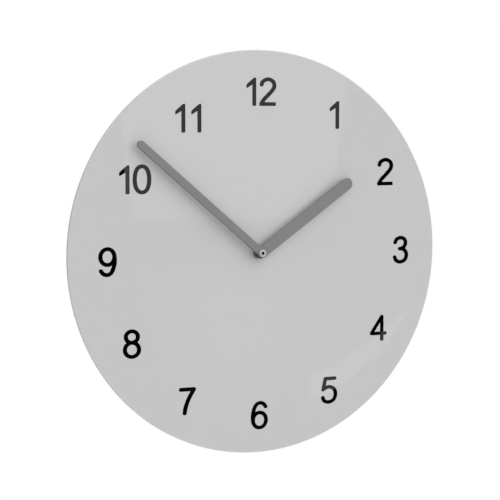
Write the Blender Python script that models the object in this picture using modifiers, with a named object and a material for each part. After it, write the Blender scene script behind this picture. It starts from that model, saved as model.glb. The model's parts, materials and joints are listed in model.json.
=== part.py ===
"""Frameless round wall clock: a back-painted glass dial bonded to a quartz movement.

Everything is modelled in the dial's own frame: x to the right, y up and z out of the wall towards the
room, all three in millimetres. One empty turns that frame upright, so that z becomes -Y of the world.
The origin is where the hands' axis meets the wall.
"""

import math

import bmesh
import bpy
from mathutils import Matrix, Vector

MM = 0.001
GAP = 0.1  # between pieces that rest on each other
RUNNING = 0.05  # radial clearance of a shaft in its hole
ROUND = 24  # sides of a round piece
SMALL_ROUND = 12  # sides of a pin, pivot, screw or boss

# Dial
DIAL_RADIUS = 150.0
DIAL_THICKNESS = 3.0
DIAL_ARRIS = 0.35
DIAL_HOLE_RADIUS = 4.2
DIAL_SIDES = 96
PAD_THICKNESS = 1.0
PAD_SIDE = 52.0
PAD_HOLE_RADIUS = 7.0

# Movement case
CASE_SIDE = 56.0
CASE_CORNER = 3.0
CASE_WALL = 1.2
CASE_DEPTH = 17.0
COVER_THICKNESS = 1.6
BAY_TOP = -11.8  # upper side of the battery bay
PARTITION = 1.0
DIAL_BACK = CASE_DEPTH + PAD_THICKNESS
DIAL_FRONT = DIAL_BACK + DIAL_THICKNESS
CASE_HALF = CASE_SIDE / 2
INNER_HALF = CASE_HALF - CASE_WALL
FRONT_WALL_BACK = CASE_DEPTH - CASE_WALL

# Hands, with heights above the wall
MINUTE_ANGLE = math.radians(310.2)  # clockwise from 12
HOUR_ANGLE = math.radians(55.3)
MINUTE_WIDTH = 6.0
MINUTE_TIP = 128.5
MINUTE_BACK = DIAL_FRONT + 5.3
MINUTE_FRONT = MINUTE_BACK + 1.5
HOUR_WIDTH = 9.0
HOUR_TIP = 92.1
HOUR_HEEL = 2.95
HOUR_BACK = DIAL_FRONT + 3.8
HOUR_FRONT = HOUR_BACK + 1.0
HUB_RADIUS = 4.3
HUB_BACK = DIAL_FRONT + 0.2
HUB_NECK = 2.3
HUB_HEAD = 2.8
COLLET_RADIUS = 2.2
NUT_RADIUS = 2.75
NUT_HOLE = 1.2
NUT_FRONT = DIAL_FRONT + 8.0

# Concentric tubes on the hands' axis
BUSH_RADIUS = 4.0
BUSH_BORE = 2.7
BUSH_FRONT = DIAL_FRONT - 0.05
BUSH_FLANGE_RADIUS = 5.2
BUSH_FLANGE_BACK = 14.4
HOUR_TUBE = 2.5
HOUR_TUBE_BORE = 1.6
HOUR_TUBE_TOP = HOUR_BACK - 0.9
MINUTE_TUBE = 1.4
MINUTE_TUBE_BORE = 0.75
MINUTE_TUBE_SPAN = (7.4, 28.6)
ARBOR = 0.5
ARBOR_TOP = 25.5
PIVOT = 0.4

# Gear train: module, then the angle from one wheel's centre to the next
ROTOR_MODULE = 1 / 3
TRAIN_MODULE = 0.4
THIRD_MODULE = 10.2 / 27
MOTION_MODULE = 0.36
ROTOR_PINION_TEETH = 6
INTERMEDIATE_TEETH = 36
INTERMEDIATE_PINION_TEETH = 6
SECONDS_TEETH = 30
SECONDS_PINION_TEETH = 6
THIRD_TEETH = 48
THIRD_PINION_TEETH = 6
CENTRE_TEETH = 45
CANNON_TEETH = 10
MOTION_TEETH = 30
MOTION_PINION_TEETH = 8
HOUR_TEETH = 32
SETTING_TEETH = 14
THIRD_DIRECTION = math.radians(115)
INTERMEDIATE_DIRECTION = math.radians(15)
ROTOR_DIRECTION = math.radians(30)
MOTION_DIRECTION = math.radians(190)
SETTING_DIRECTION = math.radians(200)

# Heights of the wheels above the wall, as (low, high)
SECONDS_WHEEL = (2.6, 3.4)
SECONDS_PINION = (3.2, 5.5)
THIRD_WHEEL = (4.4, 5.2)
THIRD_PINION = (5.0, 10.7)
INTERMEDIATE_PINION = (2.3, 6.2)
INTERMEDIATE_WHEEL = (6.0, 6.8)
ROTOR_PINION = (5.4, 7.2)
MAGNET = (2.5, 5.2)
GEAR_PLATE = (8.1, 9.3)
CENTRE_WHEEL = (9.7, 10.5)
CLUTCH = (10.58, 10.76)
CANNON_PINION = (10.85, 12.3)
MOTION_WHEEL = (11.0, 12.0)
MOTION_PINION = (11.8, 14.2)
SETTING_GEAR = (11.0, 12.0)
HOUR_WHEEL = (12.6, 13.8)
PIVOT_BACK = 1.2
MAGNET_RADIUS = 3.0

# Motor
COIL_X = 22.0
COIL_Z = 4.9
COIL_LOW = 0.6
COIL_HIGH = 18.4
COIL_RADIUS = 2.7
CORE_LOW = -4.2
CORE_HIGH = 22.2
STATOR = (3.2, 4.2)
STATOR_LEFT = 8.8
STATOR_RIGHT = 18.0
STATOR_BORE = 3.5

# Battery, AA, lying along x
BATTERY_Y = -19.5
BATTERY_Z = 8.1
BATTERY_RADIUS = 7.1
BATTERY_NEGATIVE = -24.3
BATTERY_POSITIVE = 26.2
BATTERY_NUB = 1.2

# Hanger above the case
HANGER_BASE = 28.4
HANGER_TOP = 39.6
HANGER_HALF = 11.5
HANGER_PLATE = (0.9, 2.0)
KEYHOLE_Y = 32.3
KEYHOLE_RADIUS = 4.5
KEYHOLE_SLOT = 2.2
KEYHOLE_SLOT_TOP = 36.4
POCKET_HALF = 6.5
POCKET_FLOOR = 7.2
TAB_FRONT = 8.4
HANGER_SCREW_X = 9.3
HANGER_SCREW_Y = 34.0

SCREW_CENTRES = ((-24.2, 24.2), (24.2, 24.2), (-24.2, -8.6), (24.2, -8.6))
SCREW_SHANK = 0.75
SCREW_HEAD = 1.7
KNOB_RADIUS = 5.8
KNOB_HOLE_RADIUS = 6.6
KNOB = (0.4, 3.0)

COLOURS = {
    # name: (red, green, blue, roughness, metallic)
    "painted_glass": (0.56, 0.56, 0.57, 0.08, 0.0),
    "hand_grey": (0.23, 0.23, 0.23, 0.35, 0.3),
    "black_hub": (0.02, 0.02, 0.02, 0.4, 0.0),
    "bright_nut": (0.75, 0.75, 0.76, 0.2, 1.0),
    "black_case": (0.03, 0.03, 0.03, 0.5, 0.0),
    "foam": (0.85, 0.84, 0.8, 0.9, 0.0),
    "brass": (0.7, 0.5, 0.2, 0.3, 1.0),
    "white_acetal": (0.8, 0.8, 0.78, 0.4, 0.0),
    "red_knob": (0.5, 0.05, 0.04, 0.45, 0.0),
    "steel": (0.55, 0.55, 0.56, 0.3, 1.0),
    "magnet": (0.12, 0.12, 0.13, 0.4, 0.8),
    "copper": (0.6, 0.25, 0.1, 0.35, 1.0),
    "circuit_green": (0.02, 0.15, 0.06, 0.4, 0.0),
    "sleeve": (0.06, 0.16, 0.3, 0.3, 0.0),
}


def make_material(name):
    red, green, blue, roughness, metallic = COLOURS[name]
    material = bpy.data.materials.new(name)
    material.use_nodes = True
    shader = material.node_tree.nodes["Principled BSDF"]
    shader.inputs["Base Color"].default_value = (red, green, blue, 1.0)
    shader.inputs["Roughness"].default_value = roughness
    shader.inputs["Metallic"].default_value = metallic
    return material


class Workshop:
    """Collections, materials and the upright dial frame that every piece is placed in."""

    def __init__(self):
        for thing in list(bpy.data.objects):
            bpy.data.objects.remove(thing, do_unlink=True)
        scene = bpy.context.scene
        self.parts = bpy.data.collections.new("wall_clock")
        self.cutters = bpy.data.collections.new("cutters")
        scene.collection.children.link(self.parts)
        scene.collection.children.link(self.cutters)
        self.materials = {name: make_material(name) for name in COLOURS}
        self.frame = bpy.data.objects.new("dial_frame", None)
        self.frame.rotation_euler = (math.radians(90), 0, 0)
        self.parts.objects.link(self.frame)


shop = None


def place(name, data, material, centre=(0, 0, 0)):
    """Put a mesh or curve in the dial frame, with its origin at centre (mm)."""
    piece = bpy.data.objects.new(name, data)
    shop.parts.objects.link(piece)
    piece.parent = shop.frame
    piece.location = Vector(centre) * MM
    if material:
        data.materials.append(shop.materials[material])
    return piece


def as_tool(piece):
    """Keep a piece only as the operand of a Boolean."""
    shop.parts.objects.unlink(piece)
    shop.cutters.objects.link(piece)
    piece.hide_render = True
    piece.display_type = "WIRE"
    return piece


def combine(piece, tool, operation):
    as_tool(tool)
    modifier = piece.modifiers.new(tool.name, "BOOLEAN")
    modifier.operation = operation
    modifier.solver = "EXACT"
    modifier.object = tool
    return piece


def smooth(mesh):
    mesh.shade_smooth()
    mesh.set_sharp_from_angle(angle=math.radians(35))


def circle(radius, sides=ROUND, centre=(0, 0)):
    """Points round a circle, counted so that the polygon's area equals the circle's."""
    step = 2 * math.pi / sides
    reach = radius * math.sqrt(step / math.sin(step))
    return [
        (centre[0] + reach * math.cos(k * step), centre[1] + reach * math.sin(k * step))
        for k in range(sides)
    ]


def arc(centre, radius, start, end, steps):
    return [
        (
            centre[0] + radius * math.cos(start + (end - start) * k / steps),
            centre[1] + radius * math.sin(start + (end - start) * k / steps),
        )
        for k in range(steps + 1)
    ]


def rectangle(left, right, bottom, top, corner=0.0, steps=5):
    """A rectangle, with rounded corners where corner is given."""
    if not corner:
        return [(left, bottom), (right, bottom), (right, top), (left, top)]
    quarter = math.pi / 2
    centres = (
        (right - corner, top - corner),
        (left + corner, top - corner),
        (left + corner, bottom + corner),
        (right - corner, bottom + corner),
    )
    points = []
    for turn, centre in enumerate(centres):
        points += arc(centre, corner, turn * quarter, (turn + 1) * quarter, steps)
    return points


def gear_outline(teeth, module, phase=0.0):
    """Straight-sided clock teeth, with one tooth pointing along phase."""
    pinion = teeth <= 16
    foot, tip = (0.5, 0.16) if pinion else (0.62, 0.22)
    addendum = 0.75 if pinion else 0.8
    dedendum = 1.15
    pitch_radius = teeth * module / 2
    root = pitch_radius - dedendum * module
    crown = pitch_radius + addendum * module
    step = 2 * math.pi / teeth
    corners = [(-foot / 2, root), (-tip / 2, crown), (tip / 2, crown), (foot / 2, root)]
    if pinion:
        corners[1:1] = [(-0.2, pitch_radius)]
        corners[-1:-1] = [(0.2, pitch_radius)]
    return [
        (radius * math.cos(phase + (k + part) * step), radius * math.sin(phase + (k + part) * step))
        for k in range(teeth)
        for part, radius in corners
    ]


def mesh_phase(phase, teeth, direction, other_teeth):
    """Phase of the wheel that meshes, in the given direction, with a wheel of the given phase."""
    return direction + math.pi - (phase - direction) * teeth / other_teeth + math.pi / other_teeth


def step_along(start, direction, distance):
    return (start[0] + distance * math.cos(direction), start[1] + distance * math.sin(direction))


def prism(name, loops, span, material=None, centre=(0, 0)):
    """A flat outline with holes, extruded between two heights above the wall."""
    curve = bpy.data.curves.new(name, "CURVE")
    curve.dimensions = "2D"
    curve.fill_mode = "BOTH"
    curve.extrude = (span[1] - span[0]) / 2 * MM
    for points in loops:
        spline = curve.splines.new("POLY")
        spline.points.add(len(points) - 1)
        for point, (x, y) in zip(spline.points, points):
            point.co = (x * MM, y * MM, 0, 1)
        spline.use_cyclic_u = True
    outline = bpy.data.objects.new(name + "_outline", curve)
    shop.cutters.objects.link(outline)
    evaluated = outline.evaluated_get(bpy.context.evaluated_depsgraph_get())
    mesh = bpy.data.meshes.new_from_object(evaluated)
    bpy.data.objects.remove(outline, do_unlink=True)
    bm = bmesh.new()
    bm.from_mesh(mesh)
    bmesh.ops.remove_doubles(bm, verts=bm.verts, dist=1e-6)
    bmesh.ops.recalc_face_normals(bm, faces=bm.faces)
    bmesh.ops.translate(bm, verts=bm.verts, vec=(0, 0, (span[0] + span[1]) / 2 * MM))
    bm.to_mesh(mesh)
    bm.free()
    mesh.name = name
    smooth(mesh)
    return place(name, mesh, material, (centre[0], centre[1], 0))


def turned(name, profile, material=None, centre=(0, 0, 0), sides=ROUND, hollow=False):
    """A profile of (radius, height), running down its outer side, swept round its own z axis."""
    mesh = bpy.data.meshes.new(name)
    bm = bmesh.new()
    points = [bm.verts.new((radius * MM, 0, height * MM)) for radius, height in profile]
    ends = zip(points, points[1:] + points[:1]) if hollow else zip(points, points[1:])
    for a, b in ends:
        bm.edges.new((a, b))
    bm.to_mesh(mesh)
    bm.free()
    piece = place(name, mesh, material, centre)
    screw = piece.modifiers.new("turn", "SCREW")
    screw.axis = "Z"
    screw.steps = sides
    screw.render_steps = sides
    screw.use_merge_vertices = True
    screw.merge_threshold = 1e-6
    screw.use_smooth_shade = False
    return piece


def box(name, low, high, material=None):
    """A box between two corners in the dial frame."""
    mesh = bpy.data.meshes.new(name)
    bm = bmesh.new()
    size = (Vector(high) - Vector(low)) * MM
    middle = (Vector(high) + Vector(low)) / 2
    bmesh.ops.create_cube(bm, size=1, matrix=Matrix.Diagonal((*size, 1)))
    bm.to_mesh(mesh)
    bm.free()
    return place(name, mesh, material, middle)


def rod(name, radius, span, centre=(0, 0), material=None, sides=ROUND):
    """A round bar along z between two heights."""
    return prism(name, [circle(radius, sides)], span, material, centre)


def hand_blade(name, angle, heel, tip, width, span, hole):
    """A straight bar with round ends; heel and tip are the reaches behind and ahead of the axis."""
    half = width / 2
    bar = arc((0, tip - half), half, 0, math.pi, 14)
    bar += arc((0, half - heel), half, math.pi, 2 * math.pi, 14)
    turn = Matrix.Rotation(-angle, 2)
    loops = [[tuple(turn @ Vector(point)) for point in loop] for loop in (bar, circle(hole))]
    blade = prism(name, loops, span, "hand_grey")
    bevel = blade.modifiers.new("edge", "BEVEL")
    bevel.width = 0.12 * MM
    bevel.segments = 1
    bevel.limit_method = "ANGLE"
    bevel.angle_limit = math.radians(60)
    return blade


def make_dial():
    edge = DIAL_RADIUS - DIAL_ARRIS
    profile = [
        (DIAL_HOLE_RADIUS, DIAL_FRONT),
        (edge, DIAL_FRONT),
        (DIAL_RADIUS, DIAL_FRONT - DIAL_ARRIS),
        (DIAL_RADIUS, DIAL_BACK + DIAL_ARRIS),
        (edge, DIAL_BACK),
        (DIAL_HOLE_RADIUS, DIAL_BACK),
    ]
    turned("dial_glass", profile, "painted_glass", sides=DIAL_SIDES, hollow=True)
    half = PAD_SIDE / 2
    loops = [rectangle(-half, half, -half, half, CASE_CORNER), circle(PAD_HOLE_RADIUS)]
    pad_gap = GAP / 2
    prism("mounting_pad", loops, (CASE_DEPTH + pad_gap, DIAL_BACK - pad_gap), "foam")


def make_hands():
    hour_span = (HOUR_BACK, HOUR_FRONT)
    hand_blade("hour_hand_blade", HOUR_ANGLE, HOUR_HEEL, HOUR_TIP, HOUR_WIDTH, hour_span, HUB_NECK + RUNNING)
    heel = MINUTE_WIDTH / 2
    minute_span = (MINUTE_BACK, MINUTE_FRONT)
    hole = COLLET_RADIUS + RUNNING
    hand_blade("minute_hand_blade", MINUTE_ANGLE, heel, MINUTE_TIP, MINUTE_WIDTH, minute_span, hole)
    hub_top = HOUR_FRONT + 0.3
    seat = HOUR_BACK - RUNNING
    shoulder = HOUR_FRONT + RUNNING
    socket = HOUR_TUBE_TOP + GAP
    hub = [
        (MINUTE_TUBE + 0.15, hub_top),
        (HUB_HEAD, hub_top),
        (HUB_HEAD, shoulder),
        (HUB_NECK, shoulder),
        (HUB_NECK, seat),
        (HUB_RADIUS, seat),
        (HUB_RADIUS, HUB_BACK),
        (HOUR_TUBE + RUNNING, HUB_BACK),
        (HOUR_TUBE + RUNNING, socket),
        (MINUTE_TUBE + 0.15, socket),
    ]
    turned("hour_hand_hub", hub, "black_hub", hollow=True, sides=32)
    loops = [circle(COLLET_RADIUS), circle(MINUTE_TUBE + RUNNING)]
    prism("minute_hand_collet", loops, (MINUTE_BACK - 0.1, MINUTE_FRONT - RUNNING), "brass")
    nut_back = MINUTE_FRONT + GAP
    bevel = 0.25
    inner = MINUTE_TUBE + RUNNING
    lip = NUT_FRONT - 0.3
    nut = [
        (NUT_HOLE, NUT_FRONT),
        (NUT_RADIUS - bevel, NUT_FRONT),
        (NUT_RADIUS, NUT_FRONT - bevel),
        (NUT_RADIUS, nut_back),
        (inner, nut_back),
        (inner, lip),
        (NUT_HOLE, lip),
    ]
    turned("minute_hand_nut", nut, "bright_nut", hollow=True, sides=32)


def case_outline():
    return rectangle(-CASE_HALF, CASE_HALF, -CASE_HALF, CASE_HALF, CASE_CORNER)


def make_front_case(centres):
    """The moulding behind the dial: two compartments, bosses, posts and the hanger tab."""
    case = prism("front_case", [case_outline()], (COVER_THICKNESS + GAP, CASE_DEPTH), "black_case")
    tab_low, tab_high = HANGER_PLATE[1] + GAP, TAB_FRONT
    tab = rectangle(-HANGER_HALF, HANGER_HALF, CASE_HALF - 1, HANGER_TOP, 2.0)
    combine(case, prism("hanger_tab", [tab], (tab_low, tab_high)), "UNION")
    side, back = INNER_HALF, FRONT_WALL_BACK
    combine(case, box("train_room", (-side, BAY_TOP + PARTITION, -1), (side, side, back)), "DIFFERENCE")
    combine(case, box("battery_room", (-side, -side, -1), (side, BAY_TOP, back)), "DIFFERENCE")
    for number, centre in enumerate(SCREW_CENTRES, 1):
        post = rod(f"cover_post_{number}", 1.8, (COVER_THICKNESS + GAP, back + 0.5), centre, sides=SMALL_ROUND)
        combine(case, post, "UNION")
    for number, centre in enumerate(((-18.5, 15.5), (15.5, 15.5), (10.5, -8.4)), 1):
        stand = rod(f"plate_post_{number}", 1.2, (GEAR_PLATE[1] + GAP, back + 0.5), centre, sides=SMALL_ROUND)
        combine(case, stand, "UNION")
    for name, boss_radius, low in (("third", 1.5, 11.2), ("setting", 1.5, 12.7), ("motion", 0.6, 10.9)):
        boss = rod(name + "_boss", boss_radius, (low, back + 0.5), centres[name], sides=SMALL_ROUND)
        combine(case, boss, "UNION")
    hole = PIVOT + RUNNING
    combine(case, rod("third_bearing", hole, (10, 13.2), centres["third"], sides=SMALL_ROUND), "DIFFERENCE")
    combine(case, rod("setting_bearing", 0.56, (12, 14.6), centres["setting"], sides=SMALL_ROUND), "DIFFERENCE")
    for number, centre in enumerate(SCREW_CENTRES, 1):
        pilot = rod(f"pilot_{number}", SCREW_SHANK + RUNNING, (1, 8.2), centre, sides=SMALL_ROUND)
        combine(case, pilot, "DIFFERENCE")
    for side_name, sign in (("left", -1), ("right", 1)):
        centre = (sign * HANGER_SCREW_X, HANGER_SCREW_Y)
        pilot = rod(f"hanger_pilot_{side_name}", SCREW_SHANK + RUNNING, (1, 6.4), centre, sides=SMALL_ROUND)
        combine(case, pilot, "DIFFERENCE")
        low = (sign * 26.35 - 0.55, BAY_TOP - 0.5, 1)
        high = (sign * 26.35 + 0.55, BAY_TOP + PARTITION + 0.5, 4.0)
        combine(case, box(f"contact_slot_{side_name}", low, high), "DIFFERENCE")
    combine(case, rod("bush_hole", BUSH_RADIUS + RUNNING, (back - 1, CASE_DEPTH + 1)), "DIFFERENCE")
    pocket = rectangle(-POCKET_HALF, POCKET_HALF, HANGER_BASE + 0.5, HANGER_TOP - 1.0, 1.0)
    combine(case, prism("hanger_pocket", [pocket], (1, POCKET_FLOOR)), "DIFFERENCE")


def make_rear_cover(centres):
    """The plate against the wall, with its battery window, knob hole and blind bearings."""
    window = rectangle(-26.5, 26.5, -26.9, BAY_TOP - 0.2, 1.0)
    knob_x, knob_y = centres["setting"]
    loops = [case_outline(), window, circle(KNOB_HOLE_RADIUS, ROUND, (knob_x, knob_y))]
    loops += [circle(SCREW_SHANK + RUNNING, SMALL_ROUND, centre) for centre in SCREW_CENTRES]
    cover = prism("rear_cover", loops, (0, COVER_THICKNESS), "black_case")
    for name in ("seconds", "third", "intermediate", "rotor"):
        boss = rod(name + "_cup", 1.2, (COVER_THICKNESS - 0.4, 2.1), centres[name], sides=SMALL_ROUND)
        combine(cover, boss, "UNION")
        hole = rod(name + "_cup_hole", PIVOT + RUNNING, (PIVOT_BACK - 0.1, 3), centres[name], sides=SMALL_ROUND)
        combine(cover, hole, "DIFFERENCE")
    for number, centre in enumerate(SCREW_CENTRES, 1):
        sink = rod(f"head_recess_{number}", SCREW_HEAD + 0.1, (-1, 0.9), centre, sides=SMALL_ROUND)
        combine(cover, sink, "DIFFERENCE")


def screw_profile(head_back, head_front, end, head_radius):
    """A pan head against the plate in front of it, a plain shank and a pointed end."""
    return [
        (0, end),
        (SCREW_SHANK, end - 0.8),
        (SCREW_SHANK, head_front),
        (head_radius, head_front),
        (head_radius, head_back + 0.25),
        (head_radius - 0.35, head_back),
        (0, head_back),
    ]


def make_screw(name, centre, head_back, head_front, end):
    """A slotted screw driven in from the wall side."""
    profile = screw_profile(head_back, head_front, end, SCREW_HEAD)
    screw = turned(name, profile, "steel", (centre[0], centre[1], 0), sides=SMALL_ROUND)
    low = (centre[0] - 2, centre[1] - 0.2, -1)
    high = (centre[0] + 2, centre[1] + 0.2, head_back + 0.35)
    combine(screw, box(name + "_slot", low, high), "DIFFERENCE")


def make_hanger():
    """A steel keyhole plate over the pocket in the case's tab, with its two screws."""
    outline = rectangle(-HANGER_HALF, HANGER_HALF, HANGER_BASE, HANGER_TOP, 2.0)
    meet = math.asin(KEYHOLE_SLOT / KEYHOLE_RADIUS)
    quarter = math.pi / 2
    keyhole = arc((0, KEYHOLE_SLOT_TOP), KEYHOLE_SLOT, 0, math.pi, 8)
    keyhole += arc((0, KEYHOLE_Y), KEYHOLE_RADIUS, quarter + meet, 5 * quarter - meet, 20)
    holes = [
        circle(SCREW_SHANK + RUNNING, SMALL_ROUND, (sign * HANGER_SCREW_X, HANGER_SCREW_Y))
        for sign in (-1, 1)
    ]
    prism("hanger_plate", [outline, keyhole, *holes], HANGER_PLATE, "steel")
    for side_name, sign in (("left", -1), ("right", 1)):
        centre = (sign * HANGER_SCREW_X, HANGER_SCREW_Y)
        make_screw(f"hanger_screw_{side_name}", centre, 0.1, HANGER_PLATE[0] - RUNNING, 6.0)


def make_bush():
    flange_front = FRONT_WALL_BACK - RUNNING
    profile = [
        (BUSH_BORE, BUSH_FRONT),
        (BUSH_RADIUS - 0.3, BUSH_FRONT),
        (BUSH_RADIUS, BUSH_FRONT - 0.3),
        (BUSH_RADIUS, flange_front),
        (BUSH_FLANGE_RADIUS, flange_front),
        (BUSH_FLANGE_RADIUS, BUSH_FLANGE_BACK),
        (BUSH_BORE, BUSH_FLANGE_BACK),
    ]
    turned("threaded_bush", profile, "brass", hollow=True)


def make_gear_plate(centres):
    """The plate between the going train and the motion work."""
    loops = [rectangle(-21.8, 18.6, BAY_TOP + PARTITION + 0.6, 18.8, 2.0)]
    loops.append(circle(MINUTE_TUBE + RUNNING))
    loops.append(circle(1.6, SMALL_ROUND, centres["third"]))
    loops.append(circle(PIVOT + RUNNING, SMALL_ROUND, centres["intermediate"]))
    loops.append(circle(PIVOT + RUNNING, SMALL_ROUND, centres["rotor"]))
    loops.append(circle(1.0 + RUNNING, SMALL_ROUND, centres["setting"]))
    prism("gear_plate", loops, GEAR_PLATE, "white_acetal")


def train_centres():
    """Where each wheel's axis crosses the dial plane."""
    axis = (0.0, 0.0)
    third = step_along(axis, THIRD_DIRECTION, (SECONDS_PINION_TEETH + THIRD_TEETH) * THIRD_MODULE / 2)
    reach = (SECONDS_TEETH + INTERMEDIATE_PINION_TEETH) * TRAIN_MODULE / 2
    intermediate = step_along(axis, INTERMEDIATE_DIRECTION, reach)
    reach = (INTERMEDIATE_TEETH + ROTOR_PINION_TEETH) * ROTOR_MODULE / 2
    rotor = step_along(intermediate, ROTOR_DIRECTION, reach)
    motion = step_along(axis, MOTION_DIRECTION, (CANNON_TEETH + MOTION_TEETH) * MOTION_MODULE / 2)
    setting = step_along(motion, SETTING_DIRECTION, (MOTION_TEETH + SETTING_TEETH) * MOTION_MODULE / 2)
    return {
        "seconds": axis,
        "third": third,
        "intermediate": intermediate,
        "rotor": rotor,
        "motion": motion,
        "setting": setting,
    }


def spoke_holes(distance, radius, count):
    step = 2 * math.pi / count
    return [
        circle(radius, SMALL_ROUND, step_along((0, 0), (k + 0.5) * step, distance)) for k in range(count)
    ]


def make_going_train(centres):
    """From the rotor to the centre wheel, which turns once an hour."""
    material = "white_acetal"
    bore = [circle(ARBOR + RUNNING, SMALL_ROUND)]
    teeth = [gear_outline(SECONDS_TEETH, TRAIN_MODULE), *bore]
    seconds = prism("seconds_wheel", teeth, SECONDS_WHEEL, material)
    pinion = [gear_outline(SECONDS_PINION_TEETH, THIRD_MODULE), *bore]
    combine(seconds, prism("seconds_pinion", pinion, SECONDS_PINION), "UNION")
    arbor = [
        (0, ARBOR_TOP),
        (ARBOR, ARBOR_TOP - 0.1),
        (ARBOR, 2.2),
        (PIVOT, 2.2),
        (PIVOT, PIVOT_BACK),
        (0, PIVOT_BACK),
    ]
    turned("seconds_arbor", arbor, "steel", sides=SMALL_ROUND)

    phase = mesh_phase(0, SECONDS_PINION_TEETH, THIRD_DIRECTION, THIRD_TEETH)
    teeth = [gear_outline(THIRD_TEETH, THIRD_MODULE, phase), *spoke_holes(5.2, 2.2, 4)]
    third = prism("third_wheel", teeth, THIRD_WHEEL, material, centres["third"])
    pinion = [gear_outline(THIRD_PINION_TEETH, TRAIN_MODULE)]
    combine(third, prism("third_pinion", pinion, THIRD_PINION, None, centres["third"]), "UNION")
    combine(third, rod("third_pivots", PIVOT, (PIVOT_BACK, 12.8), centres["third"], sides=SMALL_ROUND), "UNION")

    phase = mesh_phase(0, THIRD_PINION_TEETH, THIRD_DIRECTION + math.pi, CENTRE_TEETH)
    loops = [gear_outline(CENTRE_TEETH, TRAIN_MODULE, phase), circle(MINUTE_TUBE + RUNNING)]
    prism("centre_wheel", loops + spoke_holes(5.8, 1.9, 4), CENTRE_WHEEL, material)

    centre = centres["intermediate"]
    teeth = [gear_outline(INTERMEDIATE_TEETH, ROTOR_MODULE)]
    intermediate = prism("intermediate_wheel", teeth, INTERMEDIATE_WHEEL, material, centre)
    phase = mesh_phase(0, SECONDS_TEETH, INTERMEDIATE_DIRECTION, INTERMEDIATE_PINION_TEETH)
    pinion = [gear_outline(INTERMEDIATE_PINION_TEETH, TRAIN_MODULE, phase)]
    small = prism("intermediate_pinion", pinion, INTERMEDIATE_PINION, None, centre)
    combine(intermediate, small, "UNION")
    pivots = rod("intermediate_pivots", PIVOT, (PIVOT_BACK, 9.1), centre, sides=SMALL_ROUND)
    combine(intermediate, pivots, "UNION")

    phase = mesh_phase(0, INTERMEDIATE_TEETH, ROTOR_DIRECTION, ROTOR_PINION_TEETH)
    pinion = [gear_outline(ROTOR_PINION_TEETH, ROTOR_MODULE, phase)]
    rotor = prism("rotor_pinion", pinion, ROTOR_PINION, material, centres["rotor"])
    combine(rotor, rod("rotor_pivots", PIVOT, (PIVOT_BACK, 9.1), centres["rotor"], sides=SMALL_ROUND), "UNION")
    magnet = [circle(MAGNET_RADIUS), circle(PIVOT + RUNNING, SMALL_ROUND)]
    prism("rotor_magnet", magnet, MAGNET, "magnet", centres["rotor"])


def make_clutch_spring():
    """A three-armed washer that presses the centre wheel on the minute tube."""
    outer = []
    for k in range(30):
        angle = k * math.pi / 15
        reach = 3.0 + 1.1 * math.cos(3 * angle)
        outer.append((reach * math.cos(angle), reach * math.sin(angle)))
    prism("clutch_spring", [outer, circle(MINUTE_TUBE + RUNNING)], CLUTCH, "brass")


def make_motion_work(centres):
    """The minute tube, the 12:1 reduction to the hour tube, and the setting knob."""
    material = "white_acetal"
    tube_loops = [circle(MINUTE_TUBE), circle(MINUTE_TUBE_BORE, SMALL_ROUND)]
    cannon = prism("cannon_pinion", tube_loops, MINUTE_TUBE_SPAN, "black_hub")
    bore = circle(MINUTE_TUBE_BORE + 0.4, SMALL_ROUND)
    teeth = [gear_outline(CANNON_TEETH, MOTION_MODULE), bore]
    combine(cannon, prism("cannon_teeth", teeth, CANNON_PINION), "UNION")

    phase = mesh_phase(0, CANNON_TEETH, MOTION_DIRECTION, MOTION_TEETH)
    bore = [circle(0.65, SMALL_ROUND)]
    loops = [gear_outline(MOTION_TEETH, MOTION_MODULE, phase), *bore]
    motion = prism("motion_wheel", loops, MOTION_WHEEL, material, centres["motion"])
    loops = [gear_outline(MOTION_PINION_TEETH, MOTION_MODULE), *bore]
    small = prism("motion_pinion", loops, MOTION_PINION, None, centres["motion"])
    combine(motion, small, "UNION")

    hour_phase = mesh_phase(0, MOTION_PINION_TEETH, MOTION_DIRECTION + math.pi, HOUR_TEETH)
    tube_loops = [circle(HOUR_TUBE), circle(HOUR_TUBE_BORE)]
    hour = prism("hour_wheel", tube_loops, (HOUR_WHEEL[0], HOUR_TUBE_TOP), material)
    teeth = [gear_outline(HOUR_TEETH, MOTION_MODULE, hour_phase), circle(HOUR_TUBE_BORE + 0.3)]
    combine(hour, prism("hour_teeth", teeth, HOUR_WHEEL), "UNION")

    setting_phase = mesh_phase(phase, MOTION_TEETH, SETTING_DIRECTION, SETTING_TEETH)
    x, y = centres["setting"]
    stem_profile = [
        (0, 14.3),
        (0.5, 14.2),
        (0.5, 12.5),
        (1.0, 12.5),
        (1.0, 0.9),
        (0, 0.9),
    ]
    stem = turned("set_stem", stem_profile, material, (x, y, 0), sides=SMALL_ROUND)
    teeth = [gear_outline(SETTING_TEETH, MOTION_MODULE, setting_phase)]
    combine(stem, prism("setting_gear", teeth, SETTING_GEAR, None, (x, y)), "UNION")

    count = 20
    ridges = []
    for k in range(count * 2):
        reach = KNOB_RADIUS - (0.35 if k % 2 else 0.0)
        ridges.append(step_along((0, 0), k * math.pi / count, reach))
    knob = prism("set_knob", [ridges], KNOB, "red_knob", (x, y))
    socket = rod("stem_socket", 1.0 + RUNNING, (0.8, 4), (x, y), sides=SMALL_ROUND)
    combine(knob, socket, "DIFFERENCE")
    for sign in (-1, 1):
        low = (x - 4.6 if sign < 0 else x + 0.5, y - 4.0, -1)
        high = (x - 0.5 if sign < 0 else x + 4.6, y + 4.0, 0.75)
        well = box(f"finger_well_{sign}", low, high)
        combine(knob, well, "DIFFERENCE")


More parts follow.
